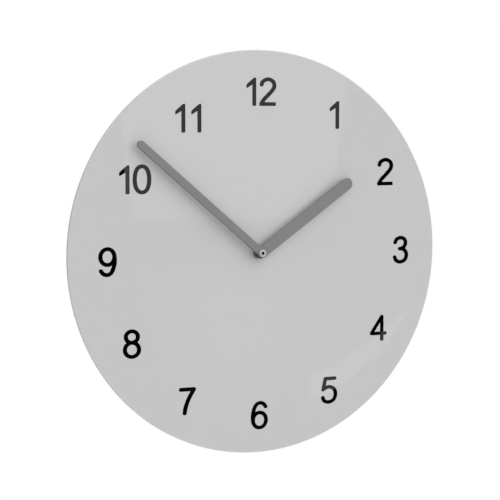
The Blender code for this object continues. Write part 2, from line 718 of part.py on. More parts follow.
def make_motor(centres):
    """Coil on its core, and the two stator plates round the rotor magnet."""
    x, y = centres["rotor"]
    split = 0.35
    dip = math.asin(split / STATOR_BORE)
    lower = arc((x, y), STATOR_BORE, -dip, dip - math.pi, 16)
    lower += [
        (STATOR_LEFT, y - split),
        (STATOR_LEFT, CORE_LOW),
        (COIL_X + 1.6, CORE_LOW),
        (COIL_X + 1.6, CORE_LOW + 3.2),
        (STATOR_RIGHT, CORE_LOW + 3.2),
        (STATOR_RIGHT, y - split),
    ]
    prism("stator_plate_lower", [lower], STATOR, "steel")
    upper = arc((x, y), STATOR_BORE, math.pi - dip, dip, 16)
    upper += [
        (STATOR_RIGHT, y + split),
        (STATOR_RIGHT, CORE_HIGH - 3.2),
        (COIL_X + 1.6, CORE_HIGH - 3.2),
        (COIL_X + 1.6, CORE_HIGH),
        (STATOR_RIGHT - 4, CORE_HIGH),
        (STATOR_RIGHT - 4, y + 6),
        (STATOR_LEFT, y + 5),
        (STATOR_LEFT, y + split),
    ]
    prism("stator_plate_upper", [upper], STATOR, "steel")
    core_half = (0.9, 0.6 - RUNNING)
    low = (COIL_X - core_half[0], CORE_LOW + 0.2, COIL_Z - core_half[1])
    high = (COIL_X + core_half[0], CORE_HIGH - 0.2, COIL_Z + core_half[1])
    box("coil_core", low, high, "steel")
    flange = 0.7
    tube = 1.5
    spool = [
        (0, COIL_HIGH),
        (COIL_RADIUS, COIL_HIGH),
        (COIL_RADIUS, COIL_HIGH - flange),
        (tube, COIL_HIGH - flange),
        (tube, COIL_LOW + flange),
        (COIL_RADIUS, COIL_LOW + flange),
        (COIL_RADIUS, COIL_LOW),
        (0, COIL_LOW),
    ]
    upright = (math.radians(-90), 0, 0)
    bobbin = turned("coil_bobbin", spool, "white_acetal", (COIL_X, 0, COIL_Z), sides=ROUND)
    bobbin.rotation_euler = upright
    low = (COIL_X - core_half[0] - RUNNING, COIL_LOW - 1, COIL_Z - core_half[1] - RUNNING)
    high = (COIL_X + core_half[0] + RUNNING, COIL_HIGH + 1, COIL_Z + core_half[1] + RUNNING)
    combine(bobbin, box("core_way", low, high), "DIFFERENCE")
    top, bottom = COIL_HIGH - flange - RUNNING, COIL_LOW + flange + RUNNING
    turns = [
        (tube + RUNNING, top),
        (COIL_RADIUS - 0.2, top),
        (COIL_RADIUS - 0.2, bottom),
        (tube + RUNNING, bottom),
    ]
    winding = turned("coil_winding", turns, "copper", (COIL_X, 0, COIL_Z), sides=ROUND, hollow=True)
    winding.rotation_euler = upright


def make_circuit():
    """The circuit board at the top, its potted chip and the quartz crystal's can."""
    board = (2.2, 3.0)
    prism("circuit_board", [rectangle(-20.5, 8.0, 19.4, 26.1, 0.5, 2)], board, "circuit_green")
    dome = [(0, 1.1), (0.9, 1.0), (1.7, 0.65), (2.3, 0.0), (0, 0.0)]
    turned("chip_cover", dome, "black_hub", (-1.5, 22.8, board[1] + RUNNING), sides=SMALL_ROUND)
    can = [(0, 3.0), (0.85, 3.0), (1.0, 2.8), (1.0, -3.0), (0, -3.0)]
    crystal = turned("quartz_crystal", can, "steel", (-12.0, 22.8, board[1] + 1.05), sides=SMALL_ROUND)
    crystal.rotation_euler = (0, math.radians(90), 0)


def make_contacts():
    """Sheet contacts at both ends of the battery bay, each with a leg to the circuit board."""
    inner, outer = 26.3, 26.6
    pad = (4.0, 13.0)
    leg = (2.2, 3.4)
    top = 26.6
    low = (inner, -25.0, pad[0])
    positive = box("contact_positive", low, (outer, -14.0, pad[1]), "brass")
    combine(positive, box("positive_foot", (inner, -20.0, leg[0]), (outer, -16.0, pad[0] + 1)), "UNION")
    path = [(inner, -18.0), (outer, -18.0), (outer, top), (8.3, top), (8.3, 26.3), (inner, 26.3)]
    combine(positive, prism("positive_leg", [path], leg), "UNION")
    low = (-outer, -25.0, pad[0])
    negative = box("contact_negative", low, (-inner, -14.0, pad[1]), "brass")
    combine(negative, box("negative_foot", (-outer, -20.0, leg[0]), (-inner, -16.0, pad[0] + 1)), "UNION")
    path = [(-inner, -18.0), (-inner, 26.3), (-20.8, 26.3), (-20.8, top), (-outer, top), (-outer, -18.0)]
    combine(negative, prism("negative_leg", [path], leg), "UNION")


def make_battery_spring():
    """A cone of wire between the negative contact and the battery."""
    turns, per_turn, wire = 3, 12, 0.25
    start, end = -26.3 + GAP / 2 + wire, BATTERY_NEGATIVE - GAP / 2 - wire
    curve = bpy.data.curves.new("battery_spring", "CURVE")
    curve.dimensions = "3D"
    curve.bevel_depth = wire * MM
    curve.bevel_resolution = 1
    curve.use_fill_caps = True
    spline = curve.splines.new("POLY")
    count = turns * per_turn
    spline.points.add(count)
    for k, point in enumerate(spline.points):
        share = k / count
        angle = 2 * math.pi * turns * share
        radius = 4.9 - 2.9 * share
        spot = Vector((start + (end - start) * share, radius * math.cos(angle), radius * math.sin(angle)))
        point.co = (*(spot * MM), 1)
    place("battery_spring", curve, "steel", (0, BATTERY_Y, BATTERY_Z))


def make_battery():
    """An AA cell: sleeved can, positive cap and negative disc, all on one axis along x."""
    shoulder = BATTERY_POSITIVE - BATTERY_NUB
    centre = (0, BATTERY_Y, BATTERY_Z)
    lying = (0, math.radians(90), 0)
    bevel = 0.6
    can = [
        (0, shoulder - 0.5),
        (4.6, shoulder - 0.5),
        (4.6, shoulder - 0.2),
        (BATTERY_RADIUS - bevel, shoulder - 0.2),
        (BATTERY_RADIUS, shoulder - 0.2 - bevel),
        (BATTERY_RADIUS, BATTERY_NEGATIVE + 0.2 + bevel),
        (BATTERY_RADIUS - bevel, BATTERY_NEGATIVE + 0.2),
        (5.6, BATTERY_NEGATIVE + 0.2),
        (5.6, BATTERY_NEGATIVE + 0.5),
        (0, BATTERY_NEGATIVE + 0.5),
    ]
    cap = [
        (0, BATTERY_POSITIVE),
        (2.5, BATTERY_POSITIVE),
        (2.75, BATTERY_POSITIVE - 0.25),
        (2.75, shoulder - 0.1),
        (4.5, shoulder - 0.1),
        (4.5, shoulder - 0.45),
        (0, shoulder - 0.45),
    ]
    disc = [
        (0, BATTERY_NEGATIVE + 0.45),
        (5.5, BATTERY_NEGATIVE + 0.45),
        (5.5, BATTERY_NEGATIVE + 0.15),
        (5.2, BATTERY_NEGATIVE),
        (0, BATTERY_NEGATIVE),
    ]
    pieces = (
        ("battery_can", can, "sleeve", 32),
        ("battery_positive_cap", cap, "steel", ROUND),
        ("battery_negative_disc", disc, "steel", ROUND),
    )
    for name, profile, material, sides in pieces:
        turned(name, profile, material, centre, sides).rotation_euler = lying


def make_clock():
    global shop
    shop = Workshop()
    centres = train_centres()
    make_dial()
    make_hands()
    make_front_case(centres)
    make_rear_cover(centres)
    for number, centre in enumerate(SCREW_CENTRES, 1):
        make_screw(f"cover_screw_{number}", centre, 0.1, 0.9 - RUNNING, 7.8)
    make_hanger()
    make_bush()
    make_gear_plate(centres)
    make_going_train(centres)
    make_clutch_spring()
    make_motion_work(centres)
    make_motor(centres)
    make_circuit()
    make_contacts()
    make_battery_spring()
    make_battery()


make_clock()
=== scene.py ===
import math

import bmesh
import bpy
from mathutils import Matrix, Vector
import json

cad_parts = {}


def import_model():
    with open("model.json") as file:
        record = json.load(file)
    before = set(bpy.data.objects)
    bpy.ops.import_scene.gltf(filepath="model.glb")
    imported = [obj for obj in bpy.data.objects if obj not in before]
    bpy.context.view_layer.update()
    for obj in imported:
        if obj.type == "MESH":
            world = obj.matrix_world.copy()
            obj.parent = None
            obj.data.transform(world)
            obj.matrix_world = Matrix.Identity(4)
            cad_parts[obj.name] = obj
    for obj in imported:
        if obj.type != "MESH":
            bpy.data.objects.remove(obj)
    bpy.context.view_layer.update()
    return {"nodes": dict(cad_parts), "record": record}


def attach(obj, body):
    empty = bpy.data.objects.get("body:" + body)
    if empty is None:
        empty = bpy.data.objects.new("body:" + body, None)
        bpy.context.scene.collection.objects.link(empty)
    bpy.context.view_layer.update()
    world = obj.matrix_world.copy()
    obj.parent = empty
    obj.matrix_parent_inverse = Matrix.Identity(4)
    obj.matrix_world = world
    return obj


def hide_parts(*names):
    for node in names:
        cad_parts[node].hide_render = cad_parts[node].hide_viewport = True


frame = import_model()

# Lengths are in millimetres on the dial: x towards 3, y towards 12, z out of the wall.
MM = 0.001
DIAL_RADIUS = 150.0
DIAL_FRONT = 21.0
DIAL_BACK = 18.0
DIAL_HOLE = 4.2
PRINT_GAP = 0.005
PRINT_THICKNESS = 0.04
CASE_HALF = 28.0
COVER_THICKNESS = 1.6
THROUGH = (-1.0, 3.0)  # the span of a cut through the cover or the hanger plate
SMOOTH_ANGLE = math.radians(35)  # edges sharper than this stay sharp
FLAT_AREA = 100e-6  # a face larger than this, in square metres, is truly flat
LEVEL = 0.9999  # and so is one that lies parallel to the dial, by the size of its normal's y


def world(point):
    """A point on the dial, in metres in the row frame."""
    x, y, z = point
    return Vector((x * MM, -z * MM, y * MM))


def smooth_edges(piece):
    """Smooth shading on small and curved faces; large and level ones stay flat."""
    mesh = piece.data
    mesh.shade_smooth()
    mesh.set_sharp_from_angle(angle=SMOOTH_ANGLE)
    for polygon in mesh.polygons:
        polygon.use_smooth = polygon.area < FLAT_AREA and abs(polygon.normal.y) < LEVEL


def new_mesh(name, points, faces, materials):
    """A mesh object from dial points. Each face is (corner indices, material index)."""
    mesh = bpy.data.meshes.new(name)
    mesh.from_pydata([world(p) for p in points], [], [f[0] for f in faces])
    for material in materials:
        mesh.materials.append(material)
    for polygon, (_, index) in zip(mesh.polygons, faces):
        polygon.material_index = index
    bm = bmesh.new()
    bm.from_mesh(mesh)
    bmesh.ops.remove_doubles(bm, verts=bm.verts, dist=1e-8)
    bmesh.ops.recalc_face_normals(bm, faces=bm.faces)
    bm.to_mesh(mesh)
    bm.free()
    piece = bpy.data.objects.new(name, mesh)
    smooth_edges(piece)
    bpy.context.scene.collection.objects.link(piece)
    return piece


def circle(radius, sides, centre=(0.0, 0.0)):
    """Points round a circle, anticlockwise from 3."""
    step = 2 * math.pi / sides
    return [
        (centre[0] + radius * math.cos(k * step), centre[1] + radius * math.sin(k * step))
        for k in range(sides)
    ]


def lofted(name, rings, materials, marks=None, closed=True):
    """A piece from rings of points, each joined to the next, and the last to the first if closed.

    Marks give each row of faces its material's index.
    """
    sides, count = len(rings[0]), len(rings)
    faces = []
    for row in range(count if closed else count - 1):
        below, above = row * sides, (row + 1) % count * sides
        index = marks[row] if marks else 0
        for k in range(sides):
            after = (k + 1) % sides
            corners = (below + k, below + after, above + after, above + k)
            faces.append((corners, index))
    return new_mesh(name, [point for ring in rings for point in ring], faces, materials)


def turned(name, profile, materials, centre=(0.0, 0.0), sides=64, closed=True, marks=None, along="z"):
    """A piece turned round a line along an axis of the dial: profile is (radius, height) pairs.

    For an axis along z the centre is (x, y); along x it is (y, z); along y it is (x, z).
    """
    rings = []
    for radius, height in profile:
        spots = circle(radius, sides, centre)
        if along == "x":
            rings.append([(height, a, b) for a, b in spots])
        elif along == "y":
            rings.append([(a, height, b) for a, b in spots])
        else:
            rings.append([(a, b, height) for a, b in spots])
    return lofted(name, rings, materials, marks, closed)


def stand_for(piece, node, body):
    """The piece takes a CAD node's place."""
    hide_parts(node)
    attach(piece, body)


# Materials: every one has its own small variation in colour, gloss and surface.


def node_material(name, colour, roughness, metallic=0.0, vary=0.04, scale=60.0, bump=0.0,
                  bump_scale=800.0, gloss_vary=0.05, specular=0.5):
    """A material whose colour and roughness drift with a cloud, and whose surface may have a grain."""
    material = bpy.data.materials.new(name)
    material.use_nodes = True
    tree = material.node_tree
    shader = tree.nodes["Principled BSDF"]
    shader.inputs["Metallic"].default_value = metallic
    shader.inputs["Specular IOR Level"].default_value = specular
    where = tree.nodes.new("ShaderNodeTexCoord")
    cloud = tree.nodes.new("ShaderNodeTexNoise")
    cloud.inputs["Scale"].default_value = scale
    cloud.inputs["Detail"].default_value = 4.0
    tree.links.new(where.outputs["Object"], cloud.inputs["Vector"])
    shades = tree.nodes.new("ShaderNodeValToRGB")
    dark = [c * (1 - vary) for c in colour]
    light = [min(1.0, c * (1 + vary)) for c in colour]
    shades.color_ramp.elements[0].position = 0.3
    shades.color_ramp.elements[0].color = (*dark, 1)
    shades.color_ramp.elements[1].position = 0.7
    shades.color_ramp.elements[1].color = (*light, 1)
    tree.links.new(cloud.outputs["Fac"], shades.inputs["Fac"])
    tree.links.new(shades.outputs["Color"], shader.inputs["Base Color"])
    span = tree.nodes.new("ShaderNodeMapRange")
    span.inputs["To Min"].default_value = max(0.0, roughness - gloss_vary)
    span.inputs["To Max"].default_value = min(1.0, roughness + gloss_vary)
    tree.links.new(cloud.outputs["Fac"], span.inputs["Value"])
    tree.links.new(span.outputs["Result"], shader.inputs["Roughness"])
    if bump:
        grain = tree.nodes.new("ShaderNodeTexNoise")
        grain.inputs["Scale"].default_value = bump_scale
        grain.inputs["Detail"].default_value = 3.0
        tree.links.new(where.outputs["Object"], grain.inputs["Vector"])
        height = tree.nodes.new("ShaderNodeBump")
        height.inputs["Strength"].default_value = bump
        height.inputs["Distance"].default_value = 0.0002
        tree.links.new(grain.outputs["Fac"], height.inputs["Height"])
        tree.links.new(height.outputs["Normal"], shader.inputs["Normal"])
    return material


lacquered_glass = node_material("lacquered_glass", (0.56, 0.56, 0.56), 0.0, vary=0.004, scale=14.0,
                                gloss_vary=0.004)
ground_edge = node_material("ground_edge", (0.66, 0.68, 0.67), 0.3, vary=0.04, scale=300.0, bump=0.1,
                            bump_scale=2500.0)
back_lacquer = node_material("back_lacquer", (0.5, 0.5, 0.5), 0.5, vary=0.03, scale=40.0, bump=0.15,
                             bump_scale=1500.0)
black_print = node_material("black_print", (0.0012, 0.0012, 0.0012), 0.0, vary=0.2, scale=200.0,
                            gloss_vary=0.004, specular=0.75)
hand_paint = node_material("hand_paint", (0.215, 0.215, 0.215), 0.42, vary=0.02, scale=120.0, bump=0.05,
                           bump_scale=4000.0)
# Painted shade: the hands' side walls are darker copies of the hands' grey, the minute hand's darker than
# the hour hand's.
minute_wall_painted_shade = node_material("minute_wall_painted_shade", (0.15, 0.15, 0.15), 0.42, vary=0.02, scale=120.0, bump=0.05,
                          bump_scale=4000.0)
hour_wall_painted_shade = node_material("hour_wall_painted_shade", (0.19, 0.19, 0.19), 0.42, vary=0.02, scale=120.0, bump=0.05,
                          bump_scale=4000.0)
hub_plastic = node_material("hub_plastic", (0.1, 0.1, 0.102), 0.3, vary=0.2, scale=300.0, bump=0.08,
                            bump_scale=3000.0)
black_acetal = node_material("black_acetal", (0.012, 0.012, 0.013), 0.4, vary=0.2, scale=300.0, bump=0.08,
                             bump_scale=3000.0)
nut_metal = node_material("nut_metal", (0.65, 0.65, 0.65), 0.32, metallic=0.35, vary=0.03, scale=500.0)
brass_metal = node_material("brass_metal", (0.78, 0.56, 0.26), 0.28, metallic=1.0, vary=0.06, scale=400.0)
case_plastic = node_material("case_plastic", (0.012, 0.012, 0.013), 0.42, vary=0.15, scale=150.0, bump=0.25,
                             bump_scale=2600.0)
acetal_plastic = node_material("acetal_plastic", (0.75, 0.74, 0.70), 0.38, vary=0.03, scale=120.0,
                               bump=0.05, bump_scale=1500.0)
steel_metal = node_material("steel_metal", (0.62, 0.62, 0.61), 0.28, metallic=1.0, vary=0.05, scale=300.0,
                            bump=0.05, bump_scale=2500.0)
magnet_ferrite = node_material("magnet_ferrite", (0.03, 0.03, 0.032), 0.55, vary=0.2, scale=600.0, bump=0.2,
                               bump_scale=3000.0)
copper_wire = node_material("copper_wire", (0.72, 0.26, 0.11), 0.3, metallic=1.0, vary=0.08, scale=900.0)
green_board = node_material("green_board", (0.02, 0.13, 0.05), 0.4, vary=0.1, scale=300.0, bump=0.1,
                            bump_scale=3500.0)
board_copper = node_material("board_copper", (0.05, 0.24, 0.1), 0.35, vary=0.06, scale=300.0)
foam_rubber = node_material("foam_rubber", (0.02, 0.02, 0.02), 0.9, vary=0.3, scale=900.0, bump=0.6,
                            bump_scale=1800.0)
cell_sleeve = node_material("cell_sleeve", (0.03, 0.06, 0.12), 0.3, vary=0.05, scale=200.0)
cell_band = node_material("cell_band", (0.55, 0.55, 0.56), 0.25, metallic=0.6, vary=0.04, scale=150.0)
knob_plastic = node_material("knob_plastic", (0.05, 0.05, 0.052), 0.35, vary=0.1, scale=200.0, bump=0.15,
                             bump_scale=2600.0)

SLOT_MATERIALS = {
    "dial_glass": lacquered_glass,
    "foam": foam_rubber,
    "hand_grey": hand_paint,
    "black_hub": black_acetal,
    "bright_nut": nut_metal,
    "black_case": case_plastic,
    "screw_steel": steel_metal,
    "plate_steel": steel_metal,
    "brass": brass_metal,
    "white_acetal": acetal_plastic,
    "magnet": magnet_ferrite,
    "knob": case_plastic,
    "copper": copper_wire,
    "circuit_board": green_board,
    "contact_brass": brass_metal,
    "battery_sleeve": cell_sleeve,
}
slot_of_node = {p["node"]: p["material_slot"] for p in frame["record"]["subparts"]}
for node_name, node in frame["nodes"].items():
    node.data.materials.clear()
    node.data.materials.append(SLOT_MATERIALS[slot_of_node[node_name]])
    node.data.shade_smooth()
    node.data.set_sharp_from_angle(angle=SMOOTH_ANGLE)

# Moulded and stamped parts have slightly rounded edges.
EDGES = {
    "front_case": 0.3, "gear_plate": 0.15, "circuit_board": 0.05, "contact_positive": 0.05,
    "contact_negative": 0.05, "stator_plate_lower": 0.08, "stator_plate_upper": 0.08,
    "mounting_pad": 0.1,
}
for node_name, width in EDGES.items():
    edge = frame["nodes"][node_name].modifiers.new("edge", "BEVEL")
    edge.width = width * MM
    edge.segments = 2
    edge.limit_method = "ANGLE"
    edge.angle_limit = math.radians(50)
    edge.harden_normals = True


# The dial.


def make_dial():
    """The glass disc: glossy in front, ground on its edge and lacquered behind."""
    arris = 0.35  # the ground bevel
    soft = 0.12  # the rounding beside it
    edge = DIAL_RADIUS - arris
    profile = [
        (DIAL_HOLE + soft, DIAL_FRONT),
        (edge - soft, DIAL_FRONT),
        (edge, DIAL_FRONT - soft / 3),
        (DIAL_RADIUS - soft / 3, DIAL_FRONT - arris),
        (DIAL_RADIUS, DIAL_FRONT - arris - soft),
        (DIAL_RADIUS, DIAL_BACK + arris + soft),
        (DIAL_RADIUS - soft / 3, DIAL_BACK + arris),
        (edge, DIAL_BACK + soft / 3),
        (edge - soft, DIAL_BACK),
        (DIAL_HOLE + soft, DIAL_BACK),
        (DIAL_HOLE, DIAL_BACK + soft),
        (DIAL_HOLE, DIAL_FRONT - soft),
    ]
    materials = [lacquered_glass, ground_edge, back_lacquer]
    marks = [1] * len(profile)
    marks[0], marks[8] = 0, 2  # the front and the back
    dial = turned("dial_face", profile, materials, sides=256, marks=marks)
    stand_for(dial, "dial_glass", "case")


# Numerals are drawn as strokes of a round pen that is a little wider than it is high. Each digit
# is measured in millimetres from the left end of its base line.
PEN_WIDE = 3.3
PEN_HIGH = 2.85
DIGIT_HEIGHT = 21.1
LOW = PEN_HIGH / 2  # where a stroke that stands on the base line ends


def arc(centre, radii, start, end, steps=24):
    """Points along part of an ellipse; angles in degrees, anticlockwise from 3."""
    points = []
    for k in range(steps + 1):
        a = math.radians(start + (end - start) * k / steps)
        points.append((centre[0] + radii[0] * math.cos(a), centre[1] + radii[1] * math.sin(a)))
    return points


def ring(centre, radii, power=2.0):
    """A closed oval; a power above 2 makes it squarer."""
    steps = 48
    points = []
    for k in range(steps):
        c, s = math.cos(2 * math.pi * k / steps), math.sin(2 * math.pi * k / steps)
        x = math.copysign(abs(c) ** (2 / power), c)
        y = math.copysign(abs(s) ** (2 / power), s)
        points.append((centre[0] + radii[0] * x, centre[1] + radii[1] * y))
    return points


def flowing(points):
    """A smooth line through every point."""
    steps = 6
    spots = [Vector(p) for p in points]
    spots = [2 * spots[0] - spots[1], *spots, 2 * spots[-1] - spots[-2]]
    line = []
    for a, b, c, d in zip(spots, spots[1:], spots[2:], spots[3:]):
        for k in range(steps):
            t = k / steps
            square = 2 * a - 5 * b + 4 * c - d
            cube = 3 * b - a - 3 * c + d
            line.append(0.5 * (2 * b + (c - a) * t + square * t**2 + cube * t**3))
    line.append(spots[-2])
    return [tuple(p) for p in line]


def rounded_outline(corners, steps=6):
    """A closed outline through (x, y, rounding) corners."""
    outline = []
    for k, (x, y, rounding) in enumerate(corners):
        corner = Vector((x, y))
        before = Vector(corners[k - 1][:2])
        after = Vector(corners[(k + 1) % len(corners)][:2])
        enter = corner + (before - corner).normalized() * rounding
        leave = corner + (after - corner).normalized() * rounding
        for n in range(steps + 1):
            t = n / steps
            outline.append(tuple(enter * (1 - t) ** 2 + corner * 2 * t * (1 - t) + leave * t**2))
    return outline


def pen_reach(direction, weight):
    """How far the pen's edge lies from its middle, on the side that faces a direction."""
    a, b = weight * PEN_WIDE / 2, weight * PEN_HIGH / 2
    size = math.hypot(a * direction.x, b * direction.y)
    return Vector((a * a * direction.x, b * b * direction.y)) / size


def pen_stroke(line, closed, weight):
    """The loops that bound what the pen draws along a line, with a round cap at each open end."""
    cap_steps = 12
    points = [Vector(p) for p in line]
    count = len(points)
    left, right = [], []
    for k, point in enumerate(points):
        before = points[k - 1] if closed or k else point
        after = points[(k + 1) % count] if closed or k < count - 1 else point
        along = ((point - before).normalized() + (after - point).normalized()).normalized()
        side = Vector((-along.y, along.x))
        left.append(point + pen_reach(side, weight))
        right.append(point - pen_reach(side, weight))
    if closed:
        return [left, right]
    outline = list(right)
    for end, tip in ((points[-1], points[-1] - points[-2]), (points[0], points[0] - points[1])):
        angle = math.atan2(tip.y, tip.x) - math.pi / 2
        for k in range(1, cap_steps):
            a = angle + math.pi * k / cap_steps
            outline.append(end + pen_reach(Vector((math.cos(a), math.sin(a))), weight))
        if end == points[-1]:
            outline += reversed(left)
    return [outline]


def digit_shape(digit):
    """A digit's left bearing, its width, and its strokes as (line, closed) or one outline."""
    if digit == "0":
        return 1.6, 14.1, [(ring((7.05, 10.6), (5.6, 9.4), 2.25), True)]
    if digit == "1":
        outline = rounded_outline([
            (4.8, 0.0, 1.1), (8.0, 0.0, 1.1), (8.0, 20.9, 0.9), (6.2, 20.9, 0.8),
            (-0.1, 15.7, 0.9), (0.1, 12.9, 0.8), (4.8, 15.7, 0.5),
        ])
        return 3.6, 7.9, [outline]
    if digit == "2":
        top = flowing([(2.05, 15.7), (3.1, 18.0), (7.2, 19.7), (11.3, 18.1), (12.45, 15.1), (11.6, 12.5),
                       (9.3, 9.9), (6.5, 7.2), (3.9, 4.8), (1.7, 1.6)])
        base = rounded_outline([(0.1, 0.0, 0.6), (13.7, 0.0, 0.6), (13.7, 2.75, 0.6), (0.7, 2.75, 0.5)])
        return 0.8, 13.9, [(top, False), base]
    if digit == "3":
        upper = flowing([(1.85, 16.3), (3.2, 18.7), (6.5, 19.9), (9.9, 18.7), (11.0, 16.0), (10.0, 13.2),
                         (7.8, 11.7), (5.9, 11.4)])
        lower = flowing([(5.9, 11.4), (8.6, 11.1), (10.9, 9.3), (11.8, 6.2), (10.3, 2.7), (6.5, 1.2),
                         (2.9, 2.3), (1.45, 5.0)])
        return 0.8, 13.2, [(upper, False), (lower, False)]
    if digit == "4":
        return 0.8, 14.2, [
            ([(10.05, LOW), (10.05, 19.0)], False),
            ([(9.9, 19.0), (1.1, 6.4)], False),
            ([(1.4, 6.15), (12.9, 6.15)], False),
        ]
    if digit == "5":
        bowl = flowing([(1.7, 10.9), (3.9, 12.2), (7.0, 12.85), (10.8, 11.2), (12.3, 7.2), (10.7, 2.9),
                        (6.5, 1.2), (2.8, 2.2), (1.4, 4.8)])
        return 0.8, 13.6, [
            ([(3.6, 19.2), (11.5, 19.2)], False), ([(3.6, 19.2), (1.8, 11.0)], False), (bowl, False),
        ]
    if digit in "69":
        bowl = ring((7.15, 6.85), (5.35, 5.7), 2.05)
        back_line = flowing([(1.55, 7.2), (1.75, 12.0), (3.3, 16.8), (5.3, 19.1), (7.8, 19.85),
                             (10.5, 18.9), (12.2, 16.8)])
        strokes = [(bowl, True), (back_line, False)]
        if digit == "9":
            strokes = [([(14.0 - x, DIGIT_HEIGHT - y) for x, y in line], shut) for line, shut in strokes]
        return 0.8, 14.0, strokes
    if digit == "7":
        leg = flowing([(11.8, 18.6), (9.3, 14.8), (6.8, 10.0), (5.1, 5.2), (4.45, LOW)])
        return 0.8, 13.4, [([(1.5, 19.0), (11.9, 19.0)], False), (leg, False)]
    if digit == "8":
        return 0.8, 14.0, [(ring((6.95, 15.75), (4.7, 4.15)), True), (ring((7.0, 6.35), (5.5, 5.15)), True)]
    raise ValueError(digit)


def flat_shape(name, loops, low, high, material):
    """A closed flat solid: one outline, or a band between two loops of the same length."""
    bm = bmesh.new()
    if len(loops) == 1:
        bottom = [bm.verts.new(world((x, y, low))) for x, y in loops[0]]
        top = [bm.verts.new(world((x, y, high))) for x, y in loops[0]]
        bm.faces.new(list(reversed(bottom)))
        bm.faces.new(top)
        for k in range(len(top)):
            after = (k + 1) % len(top)
            bm.faces.new((bottom[k], bottom[after], top[after], top[k]))
    else:
        rings = [[bm.verts.new(world((x, y, z))) for x, y in loop] for loop in loops for z in (low, high)]
        outer_low, outer_high, inner_low, inner_high = rings
        for k in range(len(outer_low)):
            n = (k + 1) % len(outer_low)
            bm.faces.new((outer_low[k], outer_low[n], outer_high[n], outer_high[k]))
            bm.faces.new((inner_low[n], inner_low[k], inner_high[k], inner_high[n]))
            bm.faces.new((outer_high[k], outer_high[n], inner_high[n], inner_high[k]))
            bm.faces.new((outer_low[n], outer_low[k], inner_low[k], inner_low[n]))
    bmesh.ops.recalc_face_normals(bm, faces=bm.faces)
    mesh = bpy.data.meshes.new(name)
    bm.to_mesh(mesh)
    bm.free()
    mesh.materials.append(material)
    piece = bpy.data.objects.new(name, mesh)
    bpy.context.scene.collection.objects.link(piece)
    return piece


def combine(piece, tool, operation):
    """A Boolean on piece, which uses the tool up."""
    modifier = piece.modifiers.new("shape", "BOOLEAN")
    modifier.operation = operation
    modifier.solver = "EXACT"
    modifier.object = tool
    depsgraph = bpy.context.evaluated_depsgraph_get()
    old = piece.data
    piece.data = bpy.data.meshes.new_from_object(piece.evaluated_get(depsgraph))
    piece.modifiers.clear()
    bpy.data.meshes.remove(old)
    bpy.data.objects.remove(tool)
    return piece


# Where the middle of each hour's numeral is on the dial. The ring is a little off the hands' axis.
NUMERAL_PLACES = {
    12: (2.33, 119.28), 1: (63.39, 101.99), 2: (107.18, 58.63), 3: (121.17, -1.8),
    4: (102.11, -61.3), 5: (59.49, -106.74), 6: (0.7, -122.11), 7: (-57.75, -107.38),
    8: (-101.27, -63.06), 9: (-119.64, -2.97), 10: (-98.15, 55.92), 11: (-56.45, 99.93),
}
ADVANCE = {10: 12.55, 11: 12.7, 12: 13.2}  # between the starts of two digits
WEIGHT = {"4": 0.93, "5": 0.96, "6": 0.97, "7": 1.03}  # of the pen's width


def make_numeral(hour):
    """One hour's numeral, centred on its place."""
    digits = [digit_shape(d) for d in str(hour)]
    first_bearing, last_bearing, last_width = digits[0][0], digits[-1][0], digits[-1][1]
    advance = ADVANCE.get(hour, 0.0)
    width = advance + last_bearing + last_width - first_bearing
    left = NUMERAL_PLACES[hour][0] - width / 2 - first_bearing
    base = NUMERAL_PLACES[hour][1] - DIGIT_HEIGHT / 2
    low = DIAL_FRONT + PRINT_GAP
    high = low + PRINT_THICKNESS
    shapes = []
    for number, (bearing, _, strokes) in enumerate(digits):
        start = left + number * advance + bearing
        weight = WEIGHT.get(str(hour)[number], 1.0)
        for stroke in strokes:
            loops = pen_stroke(*stroke, weight) if isinstance(stroke, tuple) else [stroke]
            loops = [[(x + start, y + base) for x, y in loop] for loop in loops]
            shapes.append(flat_shape(f"stroke_{hour}_{len(shapes)}", loops, low, high, black_print))
    numeral = shapes[0]
    for shape in shapes[1:]:
        combine(numeral, shape, "UNION")
    numeral.name = f"numeral_{hour}"
    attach(numeral, "case")


# The hands, their hub and their nut.
MINUTE_ANGLE = math.radians(310.2)  # clockwise from 12
HOUR_ANGLE = math.radians(55.3)
MINUTE_SPAN = (26.3, 27.8)  # its back and front
MINUTE_TIP = 128.5
MINUTE_WIDTH = 6.0
MINUTE_HOLE = 2.25
HOUR_SPAN = (24.8, 25.8)
HOUR_TIP = 92.1
HOUR_HEEL = 2.95
HOUR_WIDTH = 9.0
HOUR_HOLE = 2.35
HAND_ROUNDING = 0.3


def rounded_edge(low, high, radius, steps=4):
    """(inset, height) pairs up the outside of a plate whose two edges are rounded."""
    pairs = []
    for k in range(steps + 1):
        a = math.pi / 2 * k / steps
        pairs.append((radius * (1 - math.sin(a)), low + radius * (1 - math.cos(a))))
    return pairs + [(inset, low + high - height) for inset, height in reversed(pairs)]


def make_hand(name, angle, heel, tip, width, span, hole, body, wall_painted_shade):
    """A straight bar with round ends and rounded edges, turned clockwise from 12; its side walls take a
    darker painted shade.
    """
    half, steps = width / 2, 32
    turns = [math.pi * k / steps for k in range(steps + 1)]
    turns += [math.pi + a for a in turns]
    c, s = math.cos(angle), math.sin(angle)

    def placed(x, y, height):
        return x * c + y * s, y * c - x * s, height

    rings = []
    for inset, height in rounded_edge(*span, HAND_ROUNDING):
        reach = half - inset
        ends = [tip - half if k <= steps else half - heel for k in range(len(turns))]
        rings.append([
            placed(reach * math.cos(a), end + reach * math.sin(a), height) for a, end in zip(turns, ends)
        ])
    for height in reversed(span):
        rings.append([placed(hole * math.cos(a), hole * math.sin(a), height) for a in turns])
    # The rounded side walls and the hole's wall take the painted shade; the front and the back take the
    # hands' grey.
    marks = [1] * (len(rings) - 3) + [0, 1, 0]
    hand = lofted(name, rings, [hand_paint, wall_painted_shade], marks)
    stand_for(hand, name, body)


